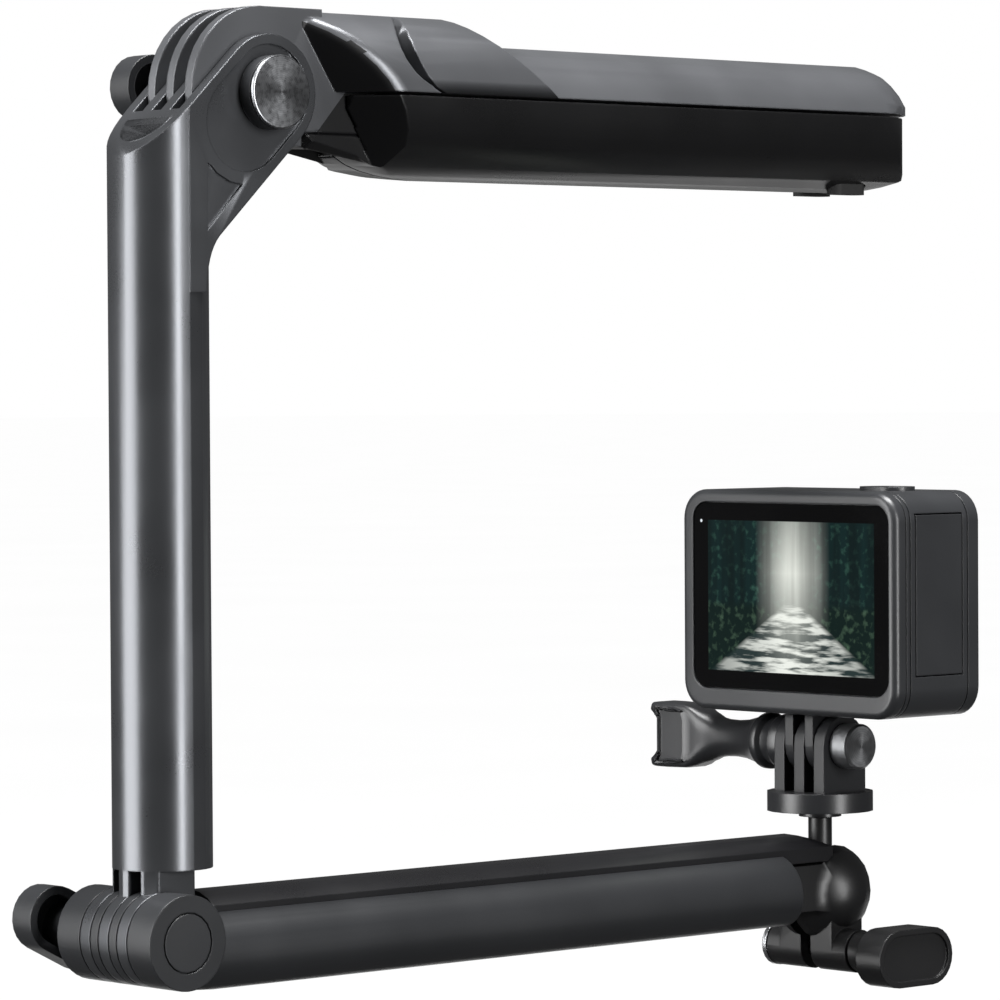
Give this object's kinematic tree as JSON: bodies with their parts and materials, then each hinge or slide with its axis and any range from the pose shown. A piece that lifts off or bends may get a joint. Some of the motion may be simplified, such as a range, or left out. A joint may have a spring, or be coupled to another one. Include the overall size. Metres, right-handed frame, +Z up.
{
  "type": "folding camera arm",
  "caption": "Folding three-section arm: a round split grip, a tubular middle arm and a flat-topped lower arm ending in a ball head that carries a small action camera.",
  "frame": {"origin": "middle of the grip, on the grip's own axis", "axes": "+X along the grip from the upper hinge to its free end, +Y across from the camera's door side to its power button side, +Z up"},
  "size_m": [0.2232, 0.0828, 0.2063],
  "materials": {
    "satin_grey": "satin anodised dark grey",
    "hub_grey": "satin mid grey",
    "black_plastic": "fine satin black",
    "dark_plastic": "satin dark grey",
    "brushed_cap": "turned, fine concentric lines",
    "steel": "plain turned steel",
    "brass": "plain",
    "rubber": "matt",
    "screen": "clear gloss",
    "picture": "lit liquid crystal panel",
    "camera_body": "fine satin dark grey",
    "board": "green circuit board",
    "cell": "wrapped cell"
  },
  "bodies": {
    "handle": {"grip_hub": "hub_grey", "top_leg_pin": "steel", "front_leg_pin": "steel", "back_leg_pin": "steel"},
    "top_leg": {"top_leg": "hub_grey"},
    "front_leg": {"front_leg": "black_plastic", "front_leg_pad": "rubber"},
    "back_leg": {"back_leg": "black_plastic", "back_leg_pad": "rubber"},
    "middle_arm": {"middle_arm": "satin_grey", "upper_hinge_bolt": "dark_plastic", "upper_bolt_cap": "brushed_cap", "upper_spacer": "steel"},
    "upper_knob": {"upper_knob": "dark_plastic", "upper_knob_nut": "brass"},
    "lower_knob": {"lower_knob": "dark_plastic", "lower_knob_nut": "brass"},
    "lower_arm": {"lower_arm_shell": "dark_plastic", "lower_arm_cover": "black_plastic", "socket_front_jaw": "black_plastic", "socket_back_jaw": "black_plastic", "clamp_bolt": "steel", "lower_hinge_bolt": "steel", "lower_bolt_cap": "dark_plastic", "lower_washer": "steel"},
    "clamp_knob": {"clamp_knob": "black_plastic"},
    "ball": {"ball": "steel"},
    "ball_stem": {"ball_stem": "black_plastic"},
    "mount_head": {"mount_head": "dark_plastic", "thumb_nut": "steel"},
    "thumb_screw": {"thumb_bolt": "steel", "thumb_knob": "dark_plastic"},
    "camera": {"camera_rear_shell": "camera_body", "screen_glass": "screen", "display_panel": "picture", "camera_frame": "camera_body", "camera_front_shell": "camera_body", "lens_barrel": "dark_plastic", "lens_glass": "screen", "front_display": "screen", "camera_battery": "cell", "circuit_board": "board", "camera_fingers": "dark_plastic"},
    "shutter_button": {"shutter_button": "dark_plastic"},
    "power_button": {"power_button": "dark_plastic"},
    "side_door": {"side_door": "camera_body"}
  },
  "joints": [
    {"name": "upper_hinge", "type": "hinge", "parent": "handle", "child": "middle_arm", "pos_m": [-0.104, 0, -0.0006], "axis": [0, 1, 0], "range_deg": [-10, 90]},
    {"name": "lower_hinge", "type": "hinge", "parent": "middle_arm", "child": "lower_arm", "pos_m": [-0.13, 0, -0.166], "axis": [0, 1, 0], "range_deg": [-5, 160]},
    {"name": "upper_knob_turn", "type": "hinge", "parent": "middle_arm", "child": "upper_knob", "pos_m": [-0.104, 0, -0.0006], "axis": [0, 1, 0], "range_deg": [-180, 180]},
    {"name": "lower_knob_turn", "type": "hinge", "parent": "lower_arm", "child": "lower_knob", "pos_m": [-0.13, 0, -0.166], "axis": [0, 1, 0], "range_deg": [-180, 180]},
    {"name": "clamp_knob_turn", "type": "hinge", "parent": "lower_arm", "child": "clamp_knob", "pos_m": [0.0605, 0, -0.1833], "axis": [0, 1, 0], "range_deg": [-180, 180]},
    {"name": "top_leg_fold", "type": "hinge", "parent": "handle", "child": "top_leg", "pos_m": [-0.0606, 0, 0.0089], "axis": [0, -1, 0], "range_deg": [0, 55]},
    {"name": "front_leg_fold", "type": "hinge", "parent": "handle", "child": "front_leg", "pos_m": [-0.0895, -0.00425, -0.00736], "axis": [0, 0.866, -0.5], "range_deg": [0, 55]},
    {"name": "back_leg_fold", "type": "hinge", "parent": "handle", "child": "back_leg", "pos_m": [-0.0895, 0.00425, -0.00736], "axis": [0, 0.866, 0.5], "range_deg": [0, 55]},
    {"name": "ball_tilt", "type": "hinge", "parent": "lower_arm", "child": "ball", "pos_m": [0.0605, 0, -0.1706], "axis": [0, 1, 0], "range_deg": [-10, 80]},
    {"name": "ball_lean", "type": "hinge", "parent": "ball", "child": "ball_stem", "pos_m": [0.0605, 0, -0.1706], "axis": [1, 0, 0], "range_deg": [-8, 8]},
    {"name": "mount_pan", "type": "hinge", "parent": "ball_stem", "child": "mount_head", "pos_m": [0.0605, 0, -0.1706], "axis": [0, 0, 1], "continuous": true},
    {"name": "camera_tilt", "type": "hinge", "parent": "mount_head", "child": "camera", "pos_m": [0.0605, 0, -0.1383], "axis": [0, 1, 0], "range_deg": [-60, 60]},
    {"name": "thumb_screw_turn", "type": "hinge", "parent": "mount_head", "child": "thumb_screw", "pos_m": [0.0605, 0, -0.1383], "axis": [0, 1, 0], "range_deg": [-180, 180]},
    {"name": "shutter_press", "type": "slide", "parent": "camera", "child": "shutter_button", "axis": [0, 0, -1], "range_m": [0, 0.0008], "stiffness_N_per_m": 1500, "springref_m": -0.0004},
    {"name": "power_press", "type": "slide", "parent": "camera", "child": "power_button", "axis": [0, -1, 0], "range_m": [0, 0.0008], "stiffness_N_per_m": 1500, "springref_m": -0.0004},
    {"name": "side_door_open", "type": "hinge", "parent": "camera", "child": "side_door", "pos_m": [0.0712, -0.0328, -0.1045], "axis": [0, 0, 1], "range_deg": [0, 100]}
  ]
}
